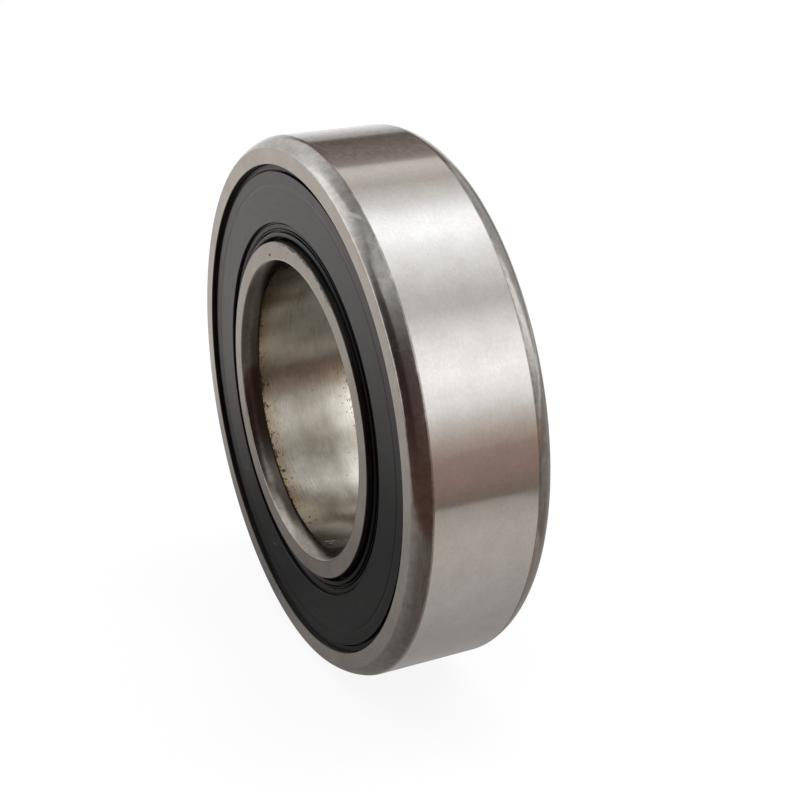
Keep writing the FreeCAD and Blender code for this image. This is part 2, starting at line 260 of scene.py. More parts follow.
def turned_mesh(name, outline, finish_of, finishes):
    """A closed outline turned about the Y axis; finish_of(radius, y) names each band's finish."""
    count = len(outline)
    names = list(finishes)
    vertices = []
    for s in range(SEGMENTS):
        angle = math.tau * s / SEGMENTS
        for r, y in outline:
            vertices.append((r * MM * math.cos(angle), y * MM, r * MM * math.sin(angle)))
    bands = []
    for (r, y), (next_r, next_y) in zip(outline, outline[1:] + outline[:1]):
        bands.append(names.index(finish_of((r + next_r) / 2, (y + next_y) / 2)))
    faces = []
    for s in range(SEGMENTS):
        here = s * count
        there = (s + 1) % SEGMENTS * count
        for i in range(count):
            j = (i + 1) % count
            faces.append((here + i, here + j, there + j, there + i))
    mesh = bpy.data.meshes.new(name)
    mesh.from_pydata(vertices, [], faces)
    for finish in names:
        mesh.materials.append(finishes[finish])
    mesh.polygons.foreach_set("material_index", bands * SEGMENTS)
    mesh.update()
    return mesh


def looks_outwards(mesh):
    """Whether a closed mesh's faces look outwards, by the sign of its volume."""
    return sum(face.center.dot(face.normal) * face.area for face in mesh.polygons) > 0


def turned_piece(name, outline, finish_of, finishes, node, body):
    """A turned object that stands for a CAD node and moves with its body."""
    mesh = turned_mesh(name, held(outline), finish_of, finishes)
    piece = bpy.data.objects.new(name, mesh)
    bpy.context.scene.collection.objects.link(piece)
    if not looks_outwards(mesh):
        mesh.flip_normals()
    mesh.shade_smooth()
    mesh.set_sharp_from_angle(angle=math.radians(SHARP_ANGLE))
    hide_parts(node)
    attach(piece, body)


# ---------------------------------------------------------------- node trees

class Tree:
    """A node tree, built node by node. Colours are (red, green, blue)."""

    def __init__(self, tree):
        self.nodes = tree.nodes
        self.links = tree.links
        self.nodes.clear()

    def node(self, kind, inputs=None, **settings):
        """A new node; an input is a value or the socket it is linked from."""
        made = self.nodes.new(kind)
        for key, value in settings.items():
            setattr(made, key, value)
        for key, value in (inputs or {}).items():
            if isinstance(value, bpy.types.NodeSocket):
                self.links.new(value, made.inputs[key])
            else:
                made.inputs[key].default_value = (*value, 1.0) if isinstance(value, tuple) else value
        return made

    def math(self, operation, a, b=0.0):
        return self.node("ShaderNodeMath", {0: a, 1: b}, operation=operation).outputs[0]

    def chained(self, operation, values):
        result, *others = values
        for value in others:
            result = self.math(operation, result, value)
        return result

    def product(self, *values):
        return self.chained("MULTIPLY", values)

    def total(self, *values):
        return self.chained("ADD", values)

    def highest(self, *values):
        return self.chained("MAXIMUM", values)

    def minus(self, a, b):
        return self.math("SUBTRACT", a, b)

    def magnitude(self, value):
        return self.math("ABSOLUTE", value)

    def seen(self):
        """1 to the camera, to metal and to glass, and 0 to the light on matte surfaces."""
        path = self.node("ShaderNodeLightPath").outputs
        return self.highest(path["Is Camera Ray"], path["Is Glossy Ray"], path["Is Transmission Ray"])

    def mix_shaders(self, factor, first, second):
        """A mix of two shader nodes."""
        return self.node("ShaderNodeMixShader", {0: factor, 1: first.outputs[0], 2: second.outputs[0]})


class Shader(Tree):
    """One material."""

    def __init__(self, name):
        self.material = bpy.data.materials.new(name)
        self.material.use_nodes = True
        super().__init__(self.material.node_tree)

    def place(self):
        return self.node("ShaderNodeTexCoord").outputs["Object"]

    def noise(self, vector, scale, detail, roughness):
        made = self.node("ShaderNodeTexNoise", {
            "Vector": vector, "Scale": scale, "Detail": detail, "Roughness": roughness,
        })
        return made.outputs["Fac"]

    def ramp(self, value, low, dark, high, light):
        """A colour that goes from dark at low to light at high."""
        made = self.node("ShaderNodeValToRGB", {"Fac": value})
        first, last = made.color_ramp.elements
        first.position, first.color = low, (*dark, 1.0)
        last.position, last.color = high, (*light, 1.0)
        return made.outputs["Color"]

    def between(self, value, low, high, to_low=0.0, to_high=1.0):
        """to_low up to low, to_high from high, and even between; high may be the smaller one."""
        made = self.node("ShaderNodeMapRange", {
            "Value": value, "From Min": low, "From Max": high, "To Min": to_low, "To Max": to_high,
        })
        return made.outputs[0]

    def mix(self, factor, a, b, blend="MIX"):
        made = self.node("ShaderNodeMix", {0: factor, 6: a, 7: b}, data_type="RGBA", blend_type=blend)
        return made.outputs[2]

    def roughness(self, noise, smooth, rough):
        """A roughness that follows a noise."""
        return self.between(noise, 0.3, 0.7, smooth, rough)

    def bump(self, height, strength, distance):
        made = self.node("ShaderNodeBump", {
            "Height": height, "Strength": strength, "Distance": distance,
        })
        return made.outputs["Normal"]

    def finished(self, shader):
        """The material, with this shader node as its surface."""
        self.node("ShaderNodeOutputMaterial", {"Surface": shader.outputs[0]})
        return self.material

    def surface(self, inputs):
        return self.finished(self.node("ShaderNodeBsdfPrincipled", inputs))

    def metal(self, colour, roughness, more):
        return self.surface({"Base Color": colour, "Metallic": 1.0, "Roughness": roughness, **more})


class TurnedShader(Shader):
    """A material that knows the bearing's axis.

    round_x and round_z are the direction from the axis; radius and y are in millimetres.
    """

    def __init__(self, name):
        super().__init__(name)
        self.position = self.place()
        x, y, z = self.node("ShaderNodeSeparateXYZ", {0: self.position}).outputs
        radius = self.math("SQRT", self.total(self.product(x, x), self.product(z, z)))
        self.round_x = self.math("DIVIDE", x, radius)
        self.round_z = self.math("DIVIDE", z, radius)
        self.radius = self.math("DIVIDE", radius, MM)
        self.y = self.math("DIVIDE", y, MM)

    def cloud(self, scale, detail, roughness):
        """Noise alike in every direction."""
        return self.noise(self.position, scale, detail, roughness)

    def lines(self, around, across, density, detail, roughness):
        """Noise drawn out round the axis; across is the coordinate that its lines follow each other in."""
        vector = self.node("ShaderNodeCombineXYZ", {
            0: self.product(self.round_x, around),
            1: self.product(across, density),
            2: self.product(self.round_z, around),
        }).outputs[0]
        return self.noise(vector, 1.0, detail, roughness)

    def angle_past(self, angle):
        """Radians round the axis from an angle in degrees."""
        return self.minus(self.math("ARCTAN2", self.round_z, self.round_x), math.radians(angle))

    def scratch(self, along, angle, low, high, slant, width):
        """Mask of a short mark near an angle, from low to high in mm, slanted by degrees per mm."""
        past_middle = self.minus(along, (low + high) / 2)
        around = self.math("DEGREES", self.angle_past(angle))
        off = self.magnitude(self.minus(around, self.product(past_middle, slant)))
        return self.product(self.between(off, width, 0.4 * width),
                            self.between(self.magnitude(past_middle), (high - low) / 2, (high - low) / 3))

    def scratches(self, along, places):
        return self.highest(*(self.scratch(along, *place) for place in places))

    def spot(self, angle, place, size):
        """Mask of a mark twice as long as it is high, at an angle in degrees and a radius in mm."""
        across = self.product(self.angle_past(angle), place)
        out = self.product(self.minus(self.radius, place), 2.0)
        distance = self.math("SQRT", self.total(self.product(across, across), self.product(out, out)))
        return self.between(distance, size, 0.6 * size)

    def in_front(self, mask):
        """The mask on the front side only."""
        return self.product(mask, self.between(self.y, 0.0, -1.0))

    def stretched(self, amount):
        """Inputs that stretch the highlights along the bearing's axis."""
        tangent = self.node("ShaderNodeTangent", direction_type="RADIAL", axis="Y").outputs[0]
        return {"Anisotropic": amount, "Anisotropic Rotation": 0.25, "Tangent": tangent}


# ---------------------------------------------------------------- finishes

def ground_rim():
    """Centreless-ground cylinder with a barely visible grain, and dust along its top."""
    s = TurnedShader("ground_rim")
    lines = s.lines(7, s.y, 14, 4, 0.65)
    tone = s.total(s.product(lines, 0.2), s.product(s.cloud(420, 4, 0.62), 0.45),
                   s.product(s.cloud(3600, 2, 0.6), 0.35))
    steel = s.ramp(tone, 0.34, (0.585, 0.555, 0.528), 0.66, (0.695, 0.68, 0.662))
    dust = s.ramp(s.cloud(2000, 3, 0.75), 0.38, (0.80, 0.76, 0.70), 0.62, (1.02, 1.01, 1.0))
    colour = s.mix(s.between(s.round_z, 0.966, 0.982), steel, dust, "MULTIPLY")
    return s.metal(colour, s.roughness(lines, 0.10, 0.15),
                   {"Normal": s.bump(lines, 0.05, 0.00001), **s.stretched(0.75)})


def outer_face():
    """Outer ring's ground side faces, with handling haze and small specks."""
    s = TurnedShader("outer_face")
    lines = s.lines(14, s.radius, 9, 4, 0.65)
    steel = s.ramp(s.cloud(330, 4, 0.6), 0.35, (0.53, 0.505, 0.47), 0.65, (0.61, 0.59, 0.56))
    specks = s.between(s.cloud(1500, 3, 0.6), 0.66, 0.72, 0.0, 0.6)
    return s.metal(s.mix(specks, steel, (0.15, 0.12, 0.10)), s.roughness(lines, 0.22, 0.34),
                   {"Normal": s.bump(lines, 0.12, 0.00002)})


def worn_face():
    """Inner ring's side faces; the front one is nicked along its outer edge and has one small pit."""
    s = TurnedShader("worn_face")
    haze = s.cloud(330, 4, 0.6)
    steel = s.ramp(haze, 0.35, (0.42, 0.39, 0.365), 0.65, (0.49, 0.465, 0.44))
    near_edge = s.between(s.radius, INNER_FACE_RADIUS - 0.34, INNER_FACE_RADIUS - 0.02, 0.0, 0.34)
    struck = s.product(s.between(s.round_z, 0.80, 0.90), s.between(s.round_x, -0.25, 0.0))
    nicks = s.product(s.between(s.total(s.cloud(1900, 3, 0.7), near_edge), 0.65, 0.68), struck)
    marks = s.in_front(s.highest(nicks, s.spot(*PIT)))
    return s.metal(s.mix(marks, steel, (0.02, 0.016, 0.013)), s.roughness(haze, 0.24, 0.33),
                   {"Normal": s.bump(marks, 0.5, -0.00008)})


def turned_chamfer(name, dark, light, stain_colour, clean_radius, stained_radius):
    """A chamfer turned before hardening: browner than the ground faces, and stained towards one edge.

    Gives its shader, its colour and its turning lines.
    """
    s = TurnedShader(name)
    turning = s.lines(10, s.y, 7, 4, 0.6)
    steel = s.ramp(s.cloud(1300, 4, 0.65), 0.32, dark, 0.68, light)
    near_edge = s.between(s.radius, clean_radius, stained_radius, 0.0, 0.5)
    stain = s.between(s.total(near_edge, s.cloud(900, 4, 0.7)), 0.62, 0.86)
    return s, s.mix(stain, steel, stain_colour), turning


def outer_chamfer():
    """Outer ring's chamfers, with a brown band of painted shade at the lower right and a pale mark on the
    front one.
    """
    s, steel, turning = turned_chamfer(
        "outer_chamfer", (0.41, 0.39, 0.36), (0.57, 0.555, 0.53), (0.34, 0.31, 0.28),
        OUTSIDE_RADIUS - 0.10, OUTSIDE_RADIUS + 0.05)
    # Painted shade: a brown band low on the chamfer, towards its outer edge.
    low_right = s.product(s.between(s.round_z, -0.75, -0.35), s.between(s.round_z, 0.1, -0.1))
    painted_shade_band = s.product(low_right, s.between(s.radius, OUTSIDE_RADIUS - 0.7, OUTSIDE_RADIUS - 0.3),
                     s.between(turning, 0.35, 0.6, 0.25, 0.85))
    steel = s.mix(painted_shade_band, steel, (0.31, 0.24, 0.205))
    mark = s.in_front(s.scratch(s.radius, *CHAMFER_SCRATCH))
    roughness = s.total(s.product(mark, 0.2), s.roughness(turning, 0.14, 0.22))
    return s.metal(s.mix(s.product(mark, 0.42), steel, (0.8, 0.8, 0.78)), roughness,
                   {"Normal": s.bump(turning, 0.12, 0.00002)})


def bore_chamfer():
    """Inner ring's chamfers: painted highlights at the top and bottom, and painted shade on the left."""
    clean, stained = BORE_RADIUS + 0.36, BORE_RADIUS + 0.10
    s, steel, turning = turned_chamfer(
        "bore_chamfer", (0.23, 0.205, 0.18), (0.34, 0.315, 0.28), (0.19, 0.16, 0.13), clean, stained)
    # Painted highlights at the bottom and the top.
    bottom = s.product(s.between(s.round_x, 0.0, 0.35), s.between(s.radius, clean, stained),
                       s.between(s.round_z, -0.5, -0.8))
    top = s.between(s.round_z, 0.78, 0.93)
    steel = s.mix(s.product(s.highest(bottom, top), 0.8), steel, (0.66, 0.63, 0.59))
    # Painted shade beside the bore on the left.
    left = s.product(s.between(s.round_x, 0.05, -0.25), s.between(s.round_z, 0.5, 0.1))
    beside_bore = s.between(s.radius, BORE_RADIUS + 0.34, BORE_RADIUS + 0.16, 0.0, 0.8)
    steel = s.mix(s.product(left, beside_bore), steel, (0.11, 0.095, 0.083))
    # Painted shade beside the face at the upper left.
    upper_left = s.product(s.between(s.round_x, -0.62, -0.8), s.between(s.round_z, -0.12, 0.0))
    beside_face = s.between(s.radius, BORE_RADIUS + 0.2, BORE_RADIUS + 0.4, 0.0, 0.64)
    steel = s.mix(s.product(upper_left, beside_face), steel, (0.11, 0.095, 0.08))
    # Painted highlight at the bore's edge, lowest on the chamfer.
    lowest = s.product(s.between(s.round_x, -0.05, 0.15), s.between(s.round_z, -0.6, -0.8))
    bore_edge = s.between(s.radius, BORE_RADIUS + 0.22, BORE_RADIUS + 0.12, 0.0, 0.8)
    steel = s.mix(s.product(lowest, bore_edge), steel, (0.52, 0.47, 0.41))
    return s.metal(steel, s.roughness(turning, 0.14, 0.22),
                   {"Normal": s.bump(turning, 0.12, 0.00002)})


def bore_steel(s, tone):
    """Ground steel with painted highlights: lighter towards both ends below and towards the rear end above.
    """
    steel = s.ramp(tone, 0.32, (0.24, 0.215, 0.175), 0.68, (0.43, 0.40, 0.35))
    # Lighter copy of the steel, painted as highlights below both ends and above the rear end.
    painted_highlight = s.ramp(tone, 0.32, (0.52, 0.48, 0.40), 0.68, (0.86, 0.83, 0.76))
    left = s.highest(s.between(s.round_x, -0.02, -0.20), s.between(s.y, 0.0, 1.5))
    below = s.product(s.between(s.magnitude(s.y), 1.2, 4.0), s.between(s.round_z, -0.08, -0.35), left)
    above = s.product(s.between(s.round_z, 0.35, 0.7), s.between(s.y, 1.5, 4.0))
    return s.mix(s.highest(below, above), steel, painted_highlight)


def bore_painted_shade(s, steel):
    """Painted shade: darker on the front half above, and darker along the bottom."""
    # Painted shade on the front half above.
    above = s.product(s.between(s.y, -1.2, -4.0), s.between(s.round_z, 0.1, 0.4, 0.0, 0.7))
    steel = s.mix(above, steel, (0.13, 0.115, 0.095))
    # Painted shade along the bottom.
    bottom = s.product(s.between(s.round_x, -0.09, -0.01), s.between(s.round_z, -0.7, -0.9))
    return s.mix(s.product(bottom, s.between(s.y, 0.8, -1.2, 0.0, 0.85)), steel, (0.165, 0.165, 0.148))


def bore_rust(s, steel, cloud):
    """Dark specks towards both ends, and a brown stain with rust dots at the left of the front edge."""
    threshold = s.between(s.magnitude(s.y), 2.8, 4.6, 0.68, 0.56)
    specks = s.minus(s.lines(30, s.y, 2.8, 3, 0.65), threshold)
    steel = s.mix(s.between(specks, 0.0, 0.04, 0.0, 0.85), steel, (0.06, 0.035, 0.02))
    corner = s.product(s.between(s.y, -3.2, -4.5), s.between(s.round_x, -0.1, -0.5))
    stain = s.product(corner, s.between(cloud, 0.35, 0.6, 0.5, 1.0))
    steel = s.mix(stain, steel, (0.93, 0.79, 0.58), "MULTIPLY")
    at_rim = s.product(corner, s.between(s.y, -3.9, -4.45))
    dots = s.total(s.cloud(2400, 3, 0.7), s.product(corner, 0.18), s.product(at_rim, 0.08))
    return s.mix(s.between(dots, 0.74, 0.79, 0.0, 0.8), steel, (0.12, 0.07, 0.03))


def ground_bore():
    """Ground bore with lines round the axis, painted highlights and shade, rust and two small scratches."""
    s = TurnedShader("ground_bore")
    fine = s.lines(9, s.y, 9, 5, 0.72)
    cloud = s.cloud(520, 4, 0.65)
    steel = bore_steel(s, s.total(s.product(cloud, 0.5), s.product(fine, 0.5)))
    steel = bore_rust(s, bore_painted_shade(s, steel), cloud)
    scraped = s.scratches(s.y, BORE_SCRATCHES)
    roughness = s.total(s.product(scraped, 0.3), s.roughness(fine, 0.15, 0.22))
    return s.metal(s.mix(s.product(scraped, 0.8), steel, (0.9, 0.9, 0.88)), roughness,
                   {"Normal": s.bump(fine, 0.08, 0.00002), **s.stretched(0.6)})


def turned_steel():
    """Seats, steps and shoulders that only tools and seals touch."""
    s = TurnedShader("turned_steel")
    turning = s.lines(6, s.total(s.y, s.radius), 8, 3, 0.6)
    colour = s.ramp(turning, 0.3, (0.09, 0.087, 0.083), 0.7, (0.15, 0.143, 0.135))
    return s.metal(colour, s.roughness(turning, 0.28, 0.42),
                   {"Normal": s.bump(turning, 0.2, 0.00003)})


def raceway():
    """Honed raceway."""
    s = TurnedShader("raceway")
    honing = s.lines(5, s.y, 14, 3, 0.6)
    colour = s.ramp(honing, 0.3, (0.66, 0.65, 0.63), 0.7, (0.72, 0.71, 0.69))
    return s.metal(colour, s.roughness(honing, 0.07, 0.13), {})


def rubber_painted_sheen(s, on_flat):
    """Specular level, painted as sheen and shade: dullest at the lower right of the flat and at the right of
    the lip.
    """
    flat = s.between(s.minus(s.round_z, s.product(s.round_x, 0.45)), -0.5, 0.85, 0.17, 1.0)
    lip = s.between(s.round_x, 0.6, -0.3, 0.10, 0.55)
    return s.total(s.product(on_flat, s.minus(flat, lip)), lip)


def seal_rubber():
    """Moulded nitrile rubber: a dusty flat, and a lip and rim painted near black as shade."""
    s = TurnedShader("seal_rubber")
    wiping = s.lines(12, s.radius, 3, 4, 0.6)
    dust = s.total(s.product(s.cloud(260, 4, 0.6), 0.5), s.product(wiping, 0.5))
    dusty = s.ramp(dust, 0.35, (0.001, 0.002, 0.0035), 0.65, (0.006, 0.0075, 0.0095))
    on_flat = s.product(s.between(s.radius, FLAT_INNER - 0.1, FLAT_INNER + 0.1),
                        s.between(s.radius, FLAT_OUTER + 0.1, FLAT_OUTER - 0.05))
    # Off the flat, the recessed lip and rim are painted near black as shade.
    colour = s.mix(on_flat, (0.003, 0.003, 0.004), dusty)
    scraped = s.product(s.in_front(s.scratches(s.radius, RUBBER_SCRATCHES)), 0.7)
    return s.surface({
        "Base Color": s.mix(scraped, colour, (0.10, 0.10, 0.10)),
        "Roughness": s.roughness(wiping, 0.28, 0.38),
        "IOR": 1.6,
        # Painted sheen and shade in the specular level.
        "Specular IOR Level": rubber_painted_sheen(s, on_flat),
        "Specular Tint": (0.88, 0.94, 1.0),
        "Normal": s.bump(s.cloud(9000, 3, 0.6), 0.10, 0.00003),
    })


def plain_steel(name, dark, light, smooth, rough, scale):
    """Sheet or headed steel with a fine mottled finish."""
    s = Shader(name)
    mottle = s.noise(s.place(), scale, 4, 0.6)
    colour = s.ramp(mottle, 0.35, dark, 0.65, light)
    return s.metal(colour, s.roughness(mottle, smooth, rough),
                   {"Normal": s.bump(mottle, 0.1, 0.00003)})


# ---------------------------------------------------------------- rings and seals

def soft_chamfer(chamfer, along_face):
    """A chamfer's points with both its edges softened into the faces beside it."""
    face_edge, wall_edge = chamfer[0], chamfer[-1]
    on_face = (face_edge[0] + along_face, face_edge[1])
    on_wall = (wall_edge[0], wall_edge[1] + EDGE_BLEND)
    return (blended(on_face, face_edge, chamfer[1]) + chamfer[2:-2]
            + blended(chamfer[-2], wall_edge, on_wall))


def outer_ring_outline():
    face_edge = front(OUTSIDE_RADIUS - OUTER_CHAMFER_RADIAL, 0)
    seat = evenly_rounded([
        (OUTER_SHOULDER, -OUTER_GROOVE_HALF),
        front(OUTER_SHOULDER, SEAT_FLOOR_DEPTH),
        front(SNAP_RADIUS + SEAT_PLAY, SEAT_FLOOR_DEPTH),
        front(SNAP_RADIUS + SEAT_PLAY, SEAT_LIP_DEPTH + SEAT_SLOPE),
        front(SEAT_RADIUS, SEAT_LIP_DEPTH),
        front(SEAT_RADIUS, 0),
        face_edge,
    ], EDGE_ROUND)
    chamfer = crowned(face_edge, front(OUTSIDE_RADIUS, OUTER_CHAMFER_AXIAL), front(OUTSIDE_RADIUS, 0),
                      OUTER_CHAMFER_RISE)
    front_half = seat[:-1] + soft_chamfer(chamfer, -EDGE_BLEND)
    groove = arc((OUTER_SHOULDER, OUTER_GROOVE_HALF), (OUTER_GROOVE_FLOOR, 0),
                 (OUTER_SHOULDER, -OUTER_GROOVE_HALF), 4 * ARC_STEPS)
    return front_half + mirrored(front_half) + groove[1:-1]


def outer_ring_finish(r, y):
    depth = HALF_WIDTH - abs(y)
    if r > OUTSIDE_RADIUS - FLAT_TOLERANCE:
        return "rim"
    if depth < FLAT_TOLERANCE:
        return "face"
    if r > OUTSIDE_RADIUS - OUTER_CHAMFER_RADIAL - EDGE_BLEND:
        return "chamfer"
    return "seat" if depth < SEAT_FLOOR_DEPTH + EDGE_ROUND else "raceway"


def inner_ring_outline():
    face_edge = front(BORE_RADIUS + BORE_CHAMFER_RADIAL, 0)
    step = evenly_rounded([
        (INNER_SHOULDER, -INNER_GROOVE_HALF),
        front(INNER_SHOULDER, LIP_WALL_DEPTH),
        front(INNER_FACE_RADIUS + STEP_TAPER, LIP_WALL_DEPTH),
        front(INNER_FACE_RADIUS, 0),
        face_edge,
    ], EDGE_ROUND)
    chamfer = crowned(face_edge, front(BORE_RADIUS, BORE_CHAMFER_AXIAL), front(BORE_RADIUS, 0),
                      BORE_CHAMFER_RISE)
    front_half = step[:-1] + soft_chamfer(chamfer, EDGE_BLEND)
    groove = arc((INNER_SHOULDER, INNER_GROOVE_HALF), (INNER_GROOVE_FLOOR, 0),
                 (INNER_SHOULDER, -INNER_GROOVE_HALF), 4 * ARC_STEPS)
    return front_half + mirrored(front_half) + groove[1:-1]


def inner_ring_finish(r, y):
    depth = HALF_WIDTH - abs(y)
    if r < BORE_RADIUS + FLAT_TOLERANCE:
        return "bore"
    if depth < FLAT_TOLERANCE:
        return "face"
    if r < BORE_RADIUS + BORE_CHAMFER_RADIAL + EDGE_BLEND:
        return "chamfer"
    return "seat" if depth < LIP_WALL_DEPTH + EDGE_ROUND else "raceway"


def seal_steps():
    """From the flat in over the step groove, the band, the second groove and the small bead."""
    return rounded([
        front(FLAT_INNER + FLAT_MARGIN, SEAL_RECESS),
        front(FLAT_INNER, SEAL_RECESS),
        front(FLAT_INNER - WALL_LEAN, STEP_GROOVE_DEPTH),
        front(STEP_GROOVE_RADIUS, STEP_GROOVE_DEPTH),
        front(STEP_GROOVE_RADIUS - WIDE_LEAN, BAND_DEPTH),
        front(BAND_RADIUS, BAND_DEPTH + BAND_SLOPE),
        front(BAND_RADIUS - WIDE_LEAN, SECOND_GROOVE_DEPTH),
        front(SECOND_GROOVE_RADIUS, SECOND_GROOVE_DEPTH),
        front(SECOND_GROOVE_RADIUS - WALL_LEAN, SMALL_BEAD_DEPTH),
        front(SMALL_BEAD_RADIUS, SMALL_BEAD_DEPTH),
        front(SMALL_BEAD_RADIUS - WALL_LEAN, LIP_GROOVE_DEPTH),
        front(LIP_GROOVE_RADIUS, LIP_GROOVE_DEPTH),
    ], STEP_ROUNDS)


def seal_lip():
    """From the lip's groove over its bead to the nose that runs on the inner ring."""
    return rounded([
        front(LIP_GROOVE_RADIUS, LIP_GROOVE_DEPTH),
        front(LIP_GROOVE_RADIUS - WIDE_LEAN, LIP_BEAD_DEPTH),
        front(LIP_NOSE, LIP_BEAD_DEPTH),
        front(LIP_NOSE, SEALING_DEPTH - LIP_BEVEL),
        front(LIP_NOSE + LIP_BEVEL, SEALING_DEPTH),
    ], [LIP_BEAD_ROUND, LIP_BEAD_ROUND, RUBBER_ROUND], 2 * CORNER_STEPS)


def seal_back():
    """Behind the lip, along the insert's front and round its bend, and behind the rim."""
    behind_lip = [
        front(LIP_NOSE + LIP_BEVEL + LIP_LAND, SEALING_DEPTH),
        front(LIP_GROOVE_RADIUS, WAIST_DEPTH),
        front(BAND_RADIUS, WAIST_DEPTH),
        front(FLAT_INNER, LIP_LAP_DEPTH),
        front(LIP_LAP_RADIUS, LIP_LAP_DEPTH),
        front(LIP_LAP_RADIUS, INSERT_FRONT + INSERT_SHEET),
        front(INSERT_INNER, INSERT_FRONT + INSERT_SHEET),
    ]
    round_insert = evenly_rounded([
        front(INSERT_INNER, INSERT_FRONT),
        front(INSERT_OUTER, INSERT_FRONT),
        front(INSERT_OUTER, INSERT_END),
    ], INSERT_SHEET + INSERT_BEND)
    behind_rim = [
        front(INSERT_OUTER - INSERT_SHEET, INSERT_END),
        front(INSERT_OUTER - INSERT_SHEET, SEAT_FLOOR_DEPTH),
        front(SNAP_RADIUS, SEAT_FLOOR_DEPTH),
    ]
    return behind_lip + round_insert + behind_rim


def seal_rim():
    """The bead that snaps into the outer ring, the rim groove and the edge of the flat."""
    bead_radius = SEAT_RADIUS - SEAT_PLAY
    return evenly_rounded([
        front(SNAP_RADIUS, SEAT_LIP_DEPTH + SEAT_SLOPE + SEAT_PLAY),
        front(bead_radius, SEAT_LIP_DEPTH + SEAT_PLAY),
        front(bead_radius, BEAD_DEPTH),
        front(FLAT_OUTER + RIM_GROOVE_WIDTH, BEAD_DEPTH),
        front(FLAT_OUTER + RIM_GROOVE_WIDTH, RIM_GROOVE_DEPTH),
        front(FLAT_OUTER, RIM_GROOVE_DEPTH),
        front(FLAT_OUTER, SEAL_RECESS),
        front(FLAT_OUTER - FLAT_MARGIN, SEAL_RECESS),
    ], RUBBER_ROUND)


def face_line():
    """Fine moulded line round the flat."""
    return evenly_rounded([
        front(FACE_LINE_RADIUS + FACE_LINE_HALF, SEAL_RECESS),
        front(FACE_LINE_RADIUS, SEAL_RECESS + FACE_LINE_DEPTH),
        front(FACE_LINE_RADIUS - FACE_LINE_HALF, SEAL_RECESS),
    ], FACE_LINE_ROUND)


def seal_outline():
    """Front seal's rubber, round the pocket that holds its insert."""
    return seal_steps() + seal_lip()[1:] + seal_back() + seal_rim() + face_line()


def make_rings_and_seals():
    hidden = {"seat": turned_steel(), "raceway": raceway()}
    outer = {"rim": ground_rim(), "face": outer_face(), "chamfer": outer_chamfer(), **hidden}
    inner = {"bore": ground_bore(), "face": worn_face(), "chamfer": bore_chamfer(), **hidden}
    turned_piece("outer_ring_ground", outer_ring_outline(), outer_ring_finish, outer,
                 "outer_ring", "outer_ring")
    turned_piece("inner_ring_ground", inner_ring_outline(), inner_ring_finish, inner,
                 "inner_ring", "inner_ring")
    rubber = {"rubber": seal_rubber()}
    outline = seal_outline()
    for side, points in (("front", outline), ("rear", mirrored(outline))):
        turned_piece(f"seal_{side}_moulding", points, lambda r, y: "rubber", rubber,
                     f"seal_{side}_rubber", "outer_ring")


def dress_inner_pieces():
    """Finishes for the CAD nodes that keep their own meshes."""
    kinds = {
        "ball": plain_steel("ball_chrome", (0.72, 0.72, 0.72), (0.78, 0.78, 0.78),
                            smooth=0.03, rough=0.07, scale=900),
        "cage_half": plain_steel("cage_sheet", (0.46, 0.44, 0.42), (0.56, 0.54, 0.52),
                                 smooth=0.24, rough=0.38, scale=1500),
        "cage_rivet": plain_steel("rivet_steel", (0.50, 0.49, 0.47), (0.60, 0.59, 0.57),
                                  smooth=0.22, rough=0.34, scale=2500),
        "seal": plain_steel("insert_sheet", (0.24, 0.24, 0.24), (0.34, 0.34, 0.34),
                            smooth=0.40, rough=0.55, scale=1200),
    }
    for name, node in frame["nodes"].items():
        if not node.hide_render:
            finish = next(kinds[kind] for kind in kinds if name.startswith(kind))
            node.data.materials.clear()
            node.data.materials.append(finish)


# ---------------------------------------------------------------- camera, floor and light

def direction(azimuth, elevation):
    """Unit vector from the bearing towards a point of view."""
    a, e = math.radians(azimuth), math.radians(elevation)
    return Vector((math.sin(a) * math.cos(e), -math.cos(a) * math.cos(e), math.sin(e)))


def look(thing, target):
    """Turns a camera or lamp towards a point."""
    thing.rotation_mode = "QUATERNION"
    thing.rotation_quaternion = (target - thing.location).to_track_quat("-Z", "Y")
    bpy.context.scene.collection.objects.link(thing)


def make_camera():
    back = direction(AZIMUTH, ELEVATION)
    right = Vector((0, 0, 1)).cross(back).normalized()
    up = back.cross(right)
    data = bpy.data.cameras.new("camera")
    data.lens = LENS
    data.clip_start = 0.01
    data.clip_end = 20
    camera = bpy.data.objects.new("camera", data)
    camera.location = back * DISTANCE
    look(camera, right * AIM_RIGHT + up * AIM_UP)
    bpy.context.scene.camera = camera


def floor_finish():
    """White paper: to the camera, metal and glass it is part glow, which thins its shadows."""
    s = Shader("floor_paint")
    seen = s.seen()
    lit = s.node("ShaderNodeBsdfDiffuse", {"Color": s.mix(seen, (0.80, 0.79, 0.78), WHITE)})
    glow = s.node("ShaderNodeEmission", {"Color": WHITE, "Strength": 1.07})
    return s.finished(s.mix_shaders(s.product(seen, FLOOR_GLOW), lit, glow))


def make_floor():
    corners = [(x * FLOOR_HALF, y * FLOOR_HALF, FLOOR_Z) for x, y in ((-1, -1), (1, -1), (1, 1), (-1, 1))]
    mesh = bpy.data.meshes.new("floor")
    mesh.from_pydata(corners, [], [(0, 1, 2, 3)])
    mesh.materials.append(floor_finish())
    floor = bpy.data.objects.new("floor", mesh)
    bpy.context.scene.collection.objects.link(floor)


def make_world():
    """Grey light for matte surfaces; white to the camera, to metal and to glass."""
    world = bpy.data.worlds.new("studio")
    world.use_nodes = True
    tree = Tree(world.node_tree)
    fill = tree.node("ShaderNodeBackground", {"Color": (0.95, 0.97, 1.0), "Strength": 0.55})
    white = tree.node("ShaderNodeBackground", {"Color": WHITE, "Strength": 1.0})
    shown = tree.mix_shaders(tree.seen(), fill, white)
    tree.node("ShaderNodeOutputWorld", {"Surface": shown.outputs[0]})
    bpy.context.scene.world = world


